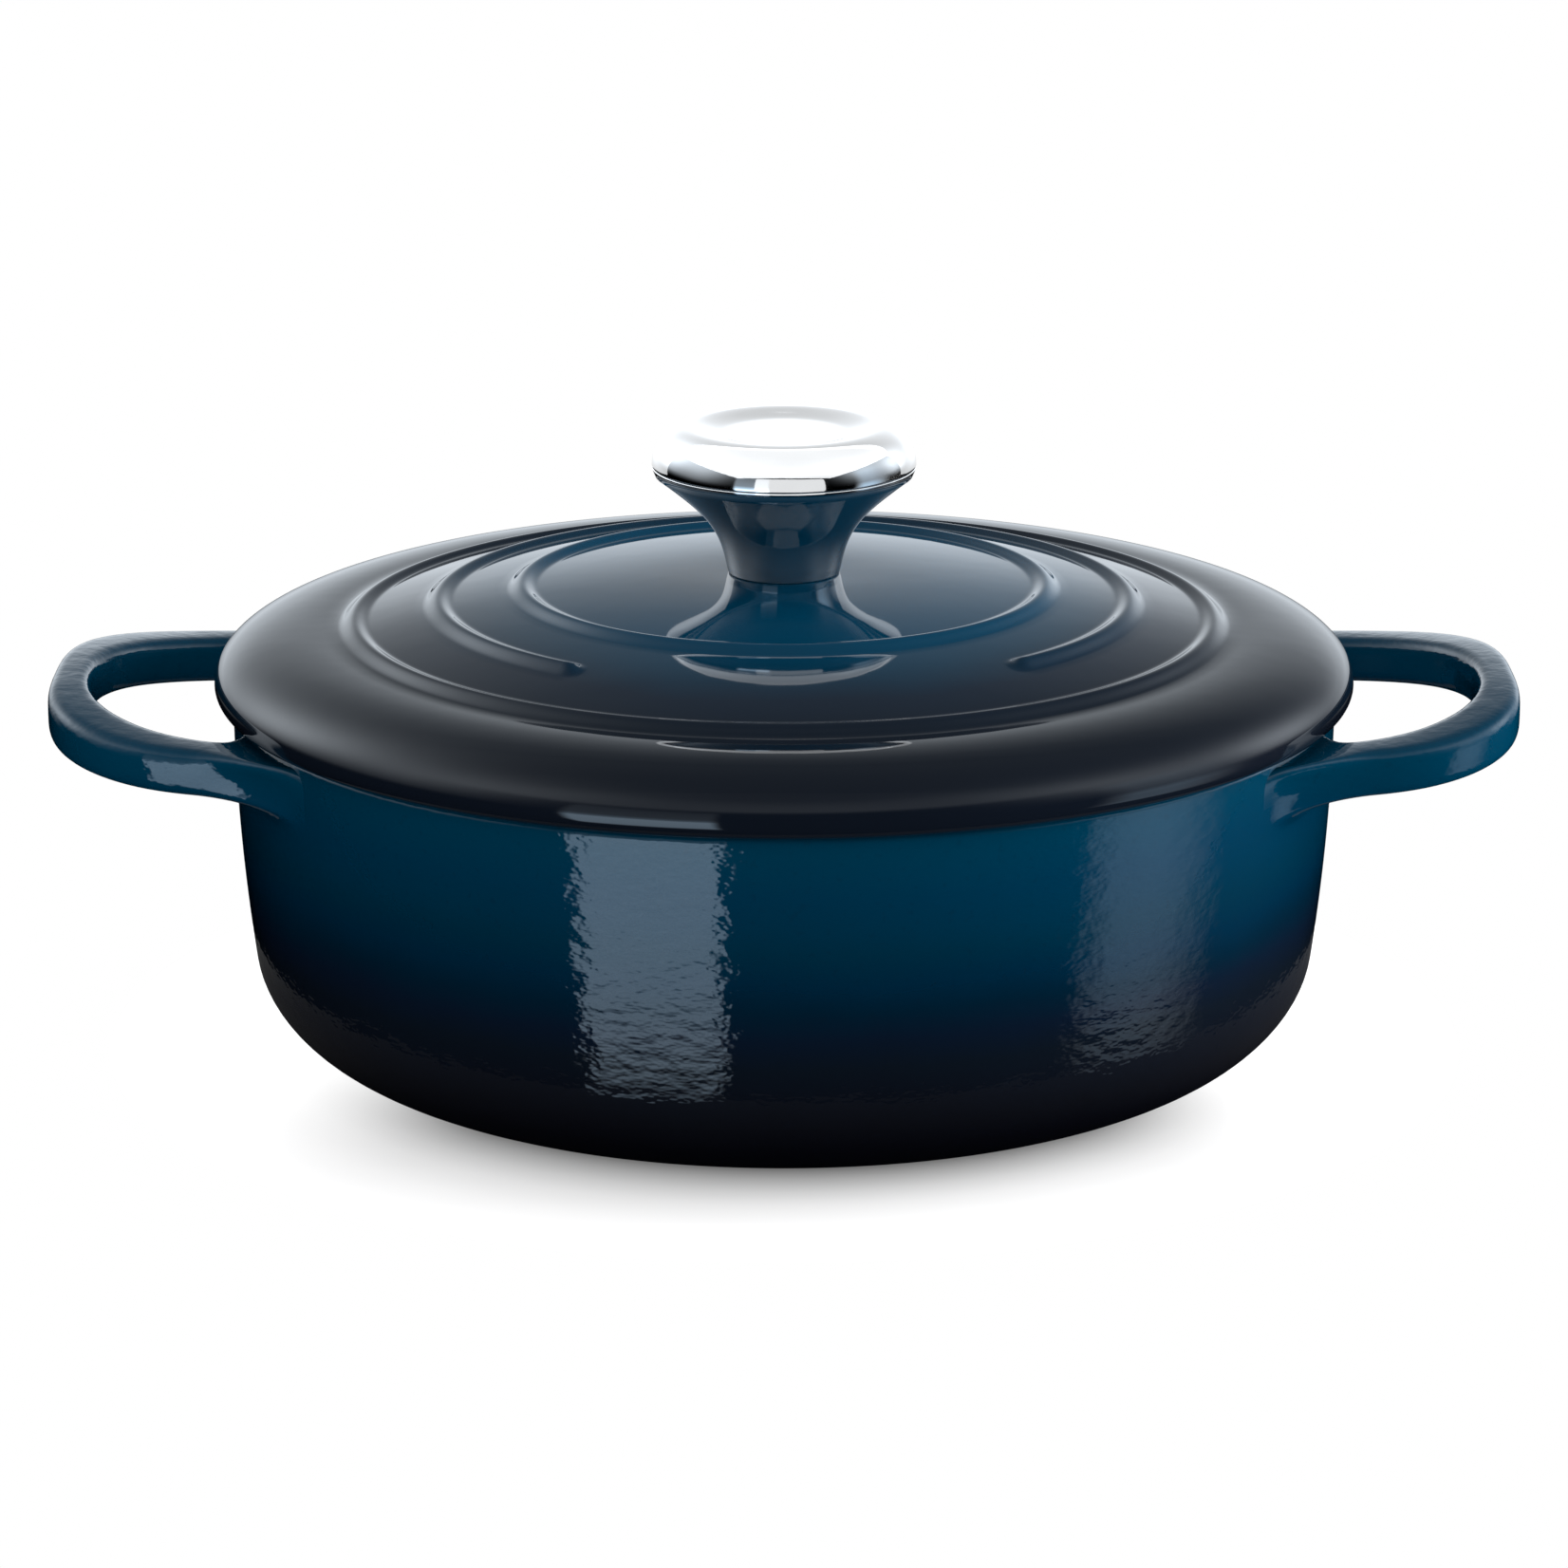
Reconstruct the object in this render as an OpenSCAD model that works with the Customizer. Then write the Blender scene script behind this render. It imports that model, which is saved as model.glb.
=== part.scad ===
// Round enamelled cast iron dutch oven with a lift-off lid.
// Millimetres, +Z up, X along the two loop handles, origin on the table under the pot's axis.

/* [Pot] */
// Diameter of the pot across the outside of its rim
pot_d = 242; // [200:1:300]
// Height of the rim above the table
pot_h = 80; // [70:1:130]
// Thickness of the cast side wall
pot_wall = 3.6; // [3:0.1:5]
// Thickness of the wall at the rim
rim_wall = 5.2; // [5:0.1:7]
// Radius that rounds both edges of the rim
rim_round = 1.6; // [0.5:0.1:2.2]
// How far the wall leans in from the rim to the table
pot_taper = 7.4; // [2:0.2:12]
// Width of the rounded corner between wall and base
corner_w = 25.5; // [15:0.5:35]
// Height of the rounded corner between wall and base
corner_h = 22; // [14:0.5:35]
// Thickness of the base
base_t = 4.5; // [3.5:0.25:8]
// Width of the foot ring that the pot stands on
foot_w = 12; // [6:0.5:20]
// Height of the shallow hollow inside the foot ring
foot_hollow = 1; // [0.5:0.1:2]

/* [Handles] */
// How far each loop handle reaches out from the rim
handle_reach = 40; // [36:0.5:60]
// Width of a loop handle across the outside of its two arms
handle_w = 110; // [104:1:140]
// Width of the finger opening where it meets the wall
finger_w = 87; // [80:1:98]
// Width of the bar at the tip of the loop, seen from above
bar_w = 8.5; // [6:0.25:12]
// Height of the bar at the tip of the loop
bar_h = 10.75; // [8:0.25:13]
// Height of each arm just before it reaches the wall
arm_h = 10.2; // [8:0.2:14]
// How far the arms start below the rim
arm_drop = 0.9; // [0.8:0.1:4]
// How far the tip of the loop rises above its arms
tip_rise = 4.9; // [0:0.1:7]
// How far each arm spreads outwards as it runs into the wall
root_spread = 7; // [2:0.5:12]
// How far each arm spreads into the finger opening as it runs into the wall
root_fillet = 7; // [2:0.5:12]
// How far each arm deepens as it runs into the wall
root_drop = 4; // [0:0.5:8]

/* [Lid] */
// How far the lid's lip reaches out past the pot's rim
lid_overhang = 4; // [2:0.25:6]
// Height of the lid's widest line above its lower face
edge_h = 3; // [2:0.1:4]
// Width of the rounding under the lid's edge
edge_round = 3; // [2:0.1:5]
// Height of the knob's seat above the lid's lower face
lid_h = 25.6; // [23:0.2:40]
// Thickness of the lid
lid_wall = 3.6; // [3:0.1:5]
// Diameter of the inner raised ring
first_ring_d = 115; // [90:1:120]
// Width of the plain band from the outer raised ring to the lid's edge
band_w = 30.5; // [26:0.5:34]
// Width of each raised ring
ring_w = 7; // [5:0.25:8]
// Height of each raised ring
ring_h = 1.5; // [0.8:0.1:2.5]
// Width over which the dome levels out beyond the outer ring's middle
ease_w = 6.5; // [5:0.5:10]
// Height of the plain band where it starts to fall to the edge
band_h = 14.2; // [13:0.1:17]
// Squareness of the plain band's fall to the edge: 2 is an ellipse, more is squarer
band_square = 2.2; // [2:0.05:2.5]
// Angle over which the middle ring is left out at the front
ring_gap = 78; // [40:1:110]
// How far the lid is turned in its seat
lid_turn = 2.5; // [-30:0.5:30]
// Length of each locating lug under the lid
lug_l = 14; // [8:0.5:20]
// Thickness of each locating lug
lug_t = 3.6; // [2.5:0.1:5]
// How far the locating lugs reach down into the pot
lug_reach = 3.4; // [2:0.1:6]
// Number of locating lugs
lug_count = 3; // [3:1:6]

/* [Knob] */
// Diameter of the knob at its widest
knob_d = 57.8; // [48:0.2:66]
// Height of the knob above its seat
knob_h = 32.7; // [29:0.1:42]
// Diameter of the knob's foot
knob_foot_d = 24.6; // [21:0.2:28]
// Height of the seam where the stem meets the cap
seam_h = 24; // [20:0.2:26]
// Thickness of the steel sheet
sheet_t = 1.2; // [0.8:0.1:1.6]
// Diameter of the ridge around the knob's top
ridge_d = 41; // [36:0.2:44]
// Depth of the dish inside the ridge
dish_depth = 1.4; // [0.6:0.1:2.2]
// Diameter of the flat disc in the middle of the dish
disc_d = 25.6; // [16:0.2:30]
// Thickness of the knob's floor
floor_t = 1.6; // [1:0.1:2.4]

/* [Fastener] */
// Diameter of the screw's thread
screw_d = 6; // [5:0.5:6.5]
// How far the screw reaches up into the knob
screw_reach = 13; // [8:0.5:15]
// Diameter of the screw's head
head_d = 12; // [10.5:0.25:14]
// Height of the screw's head
head_h = 3.8; // [3:0.1:5]
// Width of the slot in the screw's head
slot_w = 1.6; // [1:0.1:2.4]
// Depth of the slot in the screw's head
slot_depth = 1.9; // [1:0.1:2.4]
// Diameter of the flat washer
washer_d = 16; // [14:0.5:18]
// Thickness of the flat washer
washer_t = 1.6; // [1:0.1:2.4]
// Diameter of the split lock washer
lock_d = 11; // [10:0.25:12]
// Thickness of the split lock washer
lock_t = 1.6; // [1:0.1:2.4]
// Width of the cut through the lock washer
lock_cut = 1.2; // [0.6:0.1:2]
// Diameter of the threaded bush's neck in the knob's floor
neck_d = 10; // [9.5:0.25:11.5]
// Diameter of the threaded bush above the floor
bush_d = 15; // [13:0.5:18]
// Height of the threaded bush above the knob's floor
bush_h = 14.5; // [12:0.5:15]

/* [Fits] */
// Gap between the lid's lower face and the rim
seat_gap = 0.2; // [0.1:0.05:0.5]
// How far the lid's lower face reaches in past the rim
seat_lip = 0.5; // [0.2:0.1:1]
// Play of the locating lugs inside the rim
lug_play = 1.2; // [0.6:0.1:2]
// Radial clearance of the screw in the bush
thread_play = 0.05; // [0.02:0.01:0.1]
// Radial clearance of the screw in the lid's hole
hole_play = 0.4; // [0.3:0.05:0.6]
// Radial clearance of the screw in the flat washer
washer_play = 0.25; // [0.2:0.05:0.6]
// Radial clearance of the screw in the lock washer
lock_play = 0.15; // [0.1:0.05:0.4]

/* [Hidden] */
$fn = 96;
enamel = [0.02, 0.22, 0.33];
steel = [0.80, 0.81, 0.82];
bright_zinc = [0.62, 0.63, 0.62];
pot_r = pot_d / 2;
floor_z = foot_hollow + base_t;
// How much tighter the corner is inside the pot than outside
inner_ease = 3;
corner_steps = 8;
wall_steps = 10;
lid_r = pot_r + lid_overhang;
lid_z = pot_h + seat_gap;
ring_r = first_ring_d / 2;
outer_ring_r = lid_r - band_w;
middle_ring_r = (ring_r + outer_ring_r) / 2;
seat_r = knob_foot_d / 2 + 0.7;
// Fall of the dome from its middle to the outer ring
dome_fall = (lid_h - band_h) / (1 + ease_w / (outer_ring_r - seat_r));
// Place where the dome has levelled out and the plain band starts to fall
level_r = outer_ring_r + ease_w;
lug_r = pot_r - rim_wall - lug_play;
hole_r = screw_d / 2 + hole_play;
knob_z = lid_z + lid_h;
knob_r = knob_d / 2;
foot_r = knob_foot_d / 2;
under_z = knob_z - lid_wall;
// Squareness of the bar's section: 2 is an ellipse, more is squarer
bar_square = 4;
// Squareness of the loop's outer outline and of its finger opening, seen from above
loop_square = 2.9;
finger_square = 2.2;
bar_sides = 20;
bar_rings = 24;
// Place along the bar, in degrees from its tip, where the arms begin to spread
root_start = 74;
// How far inside the wall's face the arms end
root_sink = rim_wall / 2;

// Smooth step from 0 at a to 1 at b
function ramp(x, a, b) = let(t = min(1, max(0, (x - a) / (b - a)))) t * t * (3 - 2 * t);
// Rounded hump of the given width and height about the place c
function hump(x, c, w, h) = abs(x - c) < w / 2 ? h * (1 + cos(360 * (x - c) / w)) / 2 : 0;
// How far an elliptical corner pulls in at the height z above its start
function corner(z, w, h) = z < h ? w * (1 - sqrt(1 - pow(1 - z / h, 2))) : 0;
function lean(z) = pot_taper * pow(1 - z / pot_h, 2);
function outer_r(z) = pot_r - lean(z) - corner(z, corner_w, corner_h);
function wall_t(z) = pot_wall + (rim_wall - pot_wall) * pow(z / pot_h, 3);
function inner_r(z) = pot_r - lean(z) - wall_t(z)
    - corner(z - floor_z, corner_w - inner_ease, corner_h - inner_ease);
// Heights from a up to b, closer together near a where the corner turns fast
function corner_heights(a, h) = [for (i = [0 : corner_steps]) a + h * (1 - cos(90 * i / corner_steps))];
function wall_heights(a, b) = [for (i = [1 : wall_steps]) a + (b - a) * i / wall_steps];
function arc(c, r, a, b, n) = [for (i = [0 : n])
    let(t = a + (b - a) * i / n) c + r * [cos(t), sin(t)]];

module pot_profile() {
    ring_in = outer_r(0) - foot_w;
    wall_top = pot_h - rim_round;
    outer = concat(corner_heights(0, corner_h), wall_heights(corner_h, wall_top));
    inner_h = corner_h - inner_ease;
    inner = concat(corner_heights(floor_z, inner_h), wall_heights(floor_z + inner_h, wall_top));
    rim_out = arc([pot_r - rim_round, pot_h - rim_round], rim_round, 15, 90, 4);
    rim_in = arc([pot_r - rim_wall + rim_round, pot_h - rim_round], rim_round, 90, 165, 4);
    polygon(concat(
        [[0, foot_hollow], [ring_in - 2 * foot_hollow, foot_hollow], [ring_in, 0]],
        [for (z = outer) [outer_r(z), z]],
        rim_out,
        rim_in,
        [for (i = [len(inner) - 1 : -1 : 0]) [inner_r(inner[i]), inner[i]]],
        [[0, floor_z]]
    ));
}

// Place on the wall's mid line at the distance y from the handle's middle
function root_x(y) = sqrt(pow(pot_r - root_sink, 2) - y * y);
// Growth of the arms' spread, from 0 at its start to 1 at the wall's mid line
function spread(a) = pow(max(0, a - root_start) / (90 - root_start), 2);
// Quarter of a rounded outline from its tip (a = 0) to its root (a = 90)
function outline(a, tip, half_w, n) = let(c = root_x(half_w))
    [c + (tip - c) * pow(cos(a), 2 / n), half_w * pow(sin(a), 2 / n)];
function signed_pow(v, n) = sign(v) * pow(abs(v), 2 / n);
// One ring of the bar, a degrees from the tip towards the wall, on the side s of the handle
function bar_ring(a, s) =
    let(
        tip = pot_r + handle_reach,
        o = outline(a, tip, handle_w / 2 + root_spread * spread(a), loop_square),
        i = outline(a, tip - bar_w, finger_w / 2 - root_fillet * spread(a), finger_square),
        top = pot_h - arm_drop + tip_rise * pow(cos(a), 2),
        h = arm_h + (bar_h - arm_h) * pow(cos(a), 2) + root_drop * spread(a),
        mid = (o + i) / 2,
        half = (o - i) / 2
    )
    [for (k = [0 : bar_sides - 1])
        let(
            u = signed_pow(cos(360 * k / bar_sides), bar_square),
            v = signed_pow(sin(360 * k / bar_sides), bar_square)
        )
        [mid[0] + half[0] * u, s * (mid[1] + half[1] * u), top - h / 2 + v * h / 2]];

module handle() {
    steps = [for (i = [-bar_rings : bar_rings]) i / bar_rings * 90];
    rings = [for (a = steps) bar_ring(abs(a), a < 0 ? -1 : 1)];
    n = bar_sides;
    last = len(rings) - 1;
    sides = [for (r = [0 : last - 1]) for (k = [0 : n - 1])
        [r * n + k, r * n + (k + 1) % n, (r + 1) * n + (k + 1) % n, (r + 1) * n + k]];
    start = [[for (k = [n - 1 : -1 : 0]) k]];
    end = [[for (k = [0 : n - 1]) last * n + k]];
    polyhedron([for (r = rings) for (p = r) p], concat(start, sides, end));
}

module pot() {
    color(enamel)
    union() {
        rotate_extrude() pot_profile();
        handle();
        rotate([0, 0, 180]) handle();
    }
}

// Height of the lid's dome above its lower face, which is level over the knob's seat
function dome(r) = lid_h - dome_fall * pow(max(0, r - seat_r) / (outer_ring_r - seat_r), 2);
// Height between the outer ring's middle and the place where the dome has levelled out
function ease(r) = band_h + dome_fall / (outer_ring_r - seat_r) * ease_w * pow((level_r - r) / ease_w, 2);
// Height of the plain band, which falls to the edge ever more steeply
function band(r) =
    let(t = (r - level_r) / (lid_r - level_r))
    edge_h + (band_h - edge_h) * pow(1 - pow(t, band_square), 1 / band_square);
// Height of the lid's plain top above its lower face, without the raised rings
function crown(r) = r < outer_ring_r ? dome(r) : r < level_r ? ease(r) : band(r);
function rings(r) = hump(r, ring_r, ring_w, ring_h) + hump(r, outer_ring_r, ring_w, ring_h);
function lid_top(r) = crown(r) + rings(r);
function lid_under(r) = crown(r) - lid_wall;

module lid_profile() {
    under_end = pot_r - rim_wall - seat_lip;
    // The stations across the top take in both edges of the middle ring
    grid = ring_w / 7;
    ring_edge = middle_ring_r - ring_w / 2;
    start = ring_edge - grid * floor((ring_edge - seat_r) / grid - 0.3);
    top = concat([[seat_r, lid_h]], [for (r = [start : grid : level_r - 0.3]) [r, lid_top(r)]]);
    power = 2 / band_square;
    fall = [for (a = [0 : 6 : 90])
        [level_r + (lid_r - level_r) * pow(sin(a), power), edge_h + (band_h - edge_h) * pow(cos(a), power)]];
    low = [for (a = [15 : 15 : 90]) [lid_r - edge_round * (1 - cos(a)), edge_h * (1 - sin(a))]];
    under = [for (r = [under_end : -2.5 : seat_r]) [r, lid_under(r)]];
    bore = [[seat_r, lid_h - lid_wall], [hole_r, lid_h - lid_wall], [hole_r, lid_h]];
    polygon(concat(top, fall, low, [[under_end, 0]], under, bore));
}

// The middle ring stops short at the front, and a slightly smaller round end comes out of each of its end faces.
// All edges stand up a little, so that the faces cross the lid's instead of grazing them.
// Each round end has its axis a little inside the ring, and its seam is turned away from the end face.
module middle_ring() {
    root = 1.5;
    edge = 0.12;
    end_edge = 0.06;
    half = ring_w / 2;
    end_r = half - 0.2;
    end_h = ring_h - 0.1;
    end_sink = 0.8;
    seam_turn = 37;
    steps = [-half : half / 6 : half];
    fall = atan((crown(middle_ring_r - half) - crown(middle_ring_r + half)) / ring_w);
    rotate([0, 0, ring_gap / 2 - 90])
        rotate_extrude(angle = 360 - ring_gap)
        polygon(concat(
            [for (x = steps) let(r = middle_ring_r + x) [r, crown(r) + edge + hump(x, 0, ring_w, ring_h)]],
            [[middle_ring_r + half, crown(middle_ring_r) - root]],
            [[middle_ring_r - half, crown(middle_ring_r) - root]]
        ));
    for (side = [-1, 1])
        rotate([0, 0, side * ring_gap / 2 - 90])
        translate([middle_ring_r, side * end_sink, crown(middle_ring_r)])
        rotate([0, fall, 0])
        rotate([0, 0, seam_turn])
        rotate_extrude($fn = 48)
        polygon(concat(
            [[0, -root]],
            [[end_r, -root]],
            [for (x = [end_r : -end_r / 3 : 0]) [x, end_edge + hump(x, 0, 2 * end_r, end_h)]]
        ));
}

module locating_lugs() {
    turn = lug_l / lug_r * 180 / PI;
    // The lugs end inside the lid, midway between its underside and its top
    foot = (lid_under(lug_r - lug_t) + lid_top(lug_r)) / 2;
    for (k = [0 : lug_count - 1])
        rotate([0, 0, 90 + k * 360 / lug_count - turn / 2])
        rotate_extrude(angle = turn)
        translate([lug_r - lug_t, -lug_reach])
        square([lug_t, lug_reach + foot]);
}

module lid() {
    color(enamel)
    translate([0, 0, lid_z])
    rotate([0, 0, lid_turn])
    union() {
        rotate_extrude() lid_profile();
        middle_ring();
        locating_lugs();
    }
}

// Points of the stem's flare, from its foot to just under the seam
function bez(p, t) = pow(1 - t, 3) * p[0] + 3 * t * pow(1 - t, 2) * p[1]
    + 3 * t * t * (1 - t) * p[2] + pow(t, 3) * p[3];
function bez_way(p, t) = pow(1 - t, 2) * (p[1] - p[0]) + 2 * t * (1 - t) * (p[2] - p[1])
    + t * t * (p[3] - p[2]);
function inward(v) = [-v[1], v[0]] / norm(v);
flare_end = seam_h - 2;
flare = [
    [foot_r, 0],
    [foot_r + 1.7, flare_end * 0.435],
    [knob_r * 0.555, flare_end * 0.575],
    [knob_r - 0.7, flare_end]
];
flare_steps = 14;

module knob_stem() {
    outer = [for (i = [0 : flare_steps]) bez(flare, i / flare_steps)];
    inner = [for (i = [flare_steps : -1 : 0])
        let(t = i / flare_steps) bez(flare, t) + sheet_t * inward(bez_way(flare, t))];
    cavity = [for (p = inner) if (p[1] > floor_t && p[0] < knob_r - sheet_t) p];
    color(steel)
    translate([0, 0, knob_z])
    rotate_extrude()
    polygon(concat(
        [[neck_d / 2, 0]],
        outer,
        [[knob_r, seam_h], [knob_r - sheet_t, seam_h]],
        cavity,
        [[foot_r - sheet_t, floor_t], [neck_d / 2, floor_t]]
    ));
}

// Height of the dish in the cap's top above the knob's seat
function cap_z(r) = knob_h - dish_depth * ramp(ridge_d / 2 - r, 0, (ridge_d - disc_d) / 2);

module knob_cap() {
    ridge_r = ridge_d / 2;
    slope_w = (ridge_d - disc_d) / 2;
    rise = knob_h - seam_h;
    shoulder = [for (a = [0 : 10 : 90])
        [ridge_r + (knob_r - ridge_r) * cos(a), seam_h + rise * sin(a)]];
    shoulder_in = [for (a = [90 : -10 : 0])
        [ridge_r + (knob_r - sheet_t - ridge_r) * cos(a), seam_h + (rise - sheet_t) * sin(a)]];
    dish = [for (i = [1 : 8]) let(r = ridge_r - i / 8 * slope_w) [r, cap_z(r)]];
    dish_in = [for (i = [8 : -1 : 1]) let(r = ridge_r - i / 8 * slope_w) [r, cap_z(r) - sheet_t]];
    color(steel)
    translate([0, 0, knob_z])
    rotate_extrude()
    polygon(concat(shoulder, dish, [[0, cap_z(0)], [0, cap_z(0) - sheet_t]], dish_in, shoulder_in));
}

// Threaded bush: its neck fills the hole in the floor and its shoulder stands on the floor
module knob_bush() {
    color(bright_zinc)
    translate([0, 0, knob_z])
    difference() {
        union() {
            cylinder(d = neck_d, h = floor_t);
            translate([0, 0, floor_t]) cylinder(d = bush_d, h = bush_h);
        }
        translate([0, 0, -1]) cylinder(r = screw_d / 2 + thread_play, h = floor_t + bush_h);
    }
}

module knob_screw() {
    head_z = under_z - washer_t - lock_t;
    color(bright_zinc)
    translate([0, 0, head_z])
    difference() {
        union() {
            cylinder(d = screw_d, h = knob_z + screw_reach - head_z);
            mirror([0, 0, 1]) rotate_extrude() polygon(concat(
                [[0, 0], [head_d / 2, 0]],
                arc([head_d / 2 - head_h * 0.6, head_h * 0.4], head_h * 0.6, 0, 90, 6),
                [[0, head_h]]
            ));
        }
        translate([-head_d, -slot_w / 2, -head_h - 1]) cube([2 * head_d, slot_w, slot_depth + 1]);
    }
}

module flat_washer() {
    color(bright_zinc)
    translate([0, 0, under_z - washer_t])
    difference() {
        cylinder(d = washer_d, h = washer_t);
        translate([0, 0, -1]) cylinder(r = screw_d / 2 + washer_play, h = washer_t + 2);
    }
}

module lock_washer() {
    color(bright_zinc)
    translate([0, 0, under_z - washer_t - lock_t])
    difference() {
        cylinder(d = lock_d, h = lock_t);
        translate([0, 0, -1]) cylinder(r = screw_d / 2 + lock_play, h = lock_t + 2);
        rotate([0, 0, 90]) translate([0, -lock_cut / 2, -1]) cube([lock_d, lock_cut, lock_t + 2]);
    }
}

pot();
lid();
knob_stem();
knob_cap();
knob_bush();
knob_screw();
flat_washer();
lock_washer();
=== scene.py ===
"""Looks of a low round enamelled cast iron dutch oven with a lift-off lid.

The node helpers and the stage come first, then the finishes, the outlines that are turned round the axis,
and the finished pieces. Outlines are in millimetres, and become metres when a mesh is made.
"""
import math

import bmesh
import bpy
import numpy as np
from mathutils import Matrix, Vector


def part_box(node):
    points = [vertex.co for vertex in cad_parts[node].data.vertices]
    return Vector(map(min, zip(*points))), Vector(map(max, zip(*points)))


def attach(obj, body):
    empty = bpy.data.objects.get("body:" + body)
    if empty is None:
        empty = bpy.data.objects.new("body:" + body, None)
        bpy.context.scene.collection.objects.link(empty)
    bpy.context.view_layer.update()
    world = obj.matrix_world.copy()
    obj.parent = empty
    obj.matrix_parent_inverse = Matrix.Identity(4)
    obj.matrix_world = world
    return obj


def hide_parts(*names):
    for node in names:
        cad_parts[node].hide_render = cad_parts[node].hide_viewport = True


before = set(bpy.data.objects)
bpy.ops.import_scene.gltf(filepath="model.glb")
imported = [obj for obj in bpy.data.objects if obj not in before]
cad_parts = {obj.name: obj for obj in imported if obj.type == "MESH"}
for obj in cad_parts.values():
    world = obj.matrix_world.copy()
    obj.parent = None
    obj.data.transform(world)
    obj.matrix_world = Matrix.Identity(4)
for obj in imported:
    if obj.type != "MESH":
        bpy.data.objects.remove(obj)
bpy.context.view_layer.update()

MM = 0.001


def box_mm(node):
    """The lowest and the highest corner of a node of the frame, in millimetres."""
    low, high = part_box(node)
    return np.array(low) / MM, np.array(high) / MM


pot_high = box_mm("pot")[1]
lid_low, lid_high = box_mm("lid")
stem_low, stem_high = box_mm("knob_stem")
cap_high = box_mm("knob_cap")[1]

# Pot
pot_r = 121.0
pot_h = 80.0
pot_wall = 3.6
rim_wall = 5.2
rim_round = 1.6
pot_taper = 7.4
corner_w = 25.5
corner_h = 22.0
inner_ease = 3.0
foot_hollow = 1.0
foot_w = 12.0
floor_z = foot_hollow + 4.5

# Loop handles
handle_tip = pot_high[0]
handle_half = 55.0
finger_half = 43.5
bar_w = 8.5
bar_h = 10.75
arm_h = 10.2
arm_drop = 0.9
tip_rise = 4.9
bar_square = 4.0
loop_square = 2.9
finger_square = 2.2

# Patch of wall that each arm flows into: its bearings from the handle's middle, in degrees, and its heights
root_mid = 24.4
root_half = 9.0
root_low = 62.8
root_high = 79.0
root_square = 4.5

# How far the arm runs straight on before it bends, and how long it takes to lie along the wall: on its far
# side, near side, underside and top
root_leave = np.array([9.0, 6.0, 5.0, 6.0])
root_land = np.array([11.0, 4.0, 3.5, 3.0])

# Lid, whose heights are measured from its lower face
lid_r = lid_high[0]
seat_gap = 0.2
lid_z = pot_h + seat_gap
lid_h = lid_high[2] - lid_z
edge_h = 3.0
edge_round = 3.0
lid_wall = 3.6
hole_r = 3.4
seat_r = 13.0
seat_in = pot_r - rim_wall - 0.5
seat_round = 0.6
step_round = 2.0
hole_round = 0.4
first_ring_r = 57.5
outer_ring_r = 94.5
middle_ring_r = (first_ring_r + outer_ring_r) / 2
ring_w = 7.0
ring_h = 1.5
ease_w = 6.5
level_r = outer_ring_r + ease_w
band_h = 14.2
band_square = 2.2
ring_gap = math.radians(78)
lid_turn = math.radians(2.5)
lug_r = pot_r - rim_wall - 1.2
lug_t = 3.6
lug_l = 14.0
lug_round = 0.7
lug_reach = lid_z - lid_low[2]

# Knob, whose heights are measured from its seat on the lid
knob_z = stem_low[2]
knob_r = stem_high[0]
knob_h = cap_high[2] - knob_z
seam_h = stem_high[2] - knob_z
foot_r = 12.3
sheet_t = 1.2
ridge_r = 20.5
dish_depth = 1.4
disc_r = 12.8
neck_r = 5.0
floor_t = 1.6


# ---------------------------------------------------------------- node building

class Signal:
    """The output of a node. Python's arithmetic on it adds Math nodes."""

    def __init__(self, bench, socket):
        self.bench = bench
        self.socket = socket

    def out(self, name):
        """Another output of the same node."""
        return Signal(self.bench, self.socket.node.outputs[name])

    def __add__(self, other):
        return self.bench.maths("ADD", self, other)

    def __radd__(self, other):
        return self.bench.maths("ADD", other, self)

    def __sub__(self, other):
        return self.bench.maths("SUBTRACT", self, other)

    def __rsub__(self, other):
        return self.bench.maths("SUBTRACT", other, self)

    def __mul__(self, other):
        return self.bench.maths("MULTIPLY", self, other)

    def __rmul__(self, other):
        return self.bench.maths("MULTIPLY", other, self)

    def __truediv__(self, other):
        return self.bench.maths("DIVIDE", self, other)

    def __pow__(self, other):
        return self.bench.maths("POWER", self, other)

    def least(self, other):
        return self.bench.maths("MINIMUM", self, other)

    def most(self, other):
        return self.bench.maths("MAXIMUM", self, other)

    def cosine(self):
        return self.bench.maths("COSINE", self)

    def ramp(self, start, end):
        """Rises smoothly from 0 at start to 1 at end, or falls if start is the greater."""
        return self.bench.make(
            "ShaderNodeMapRange",
            {"interpolation_type": "SMOOTHSTEP"},
            {"Value": self, "From Min": start, "From Max": end},
        )


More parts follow.
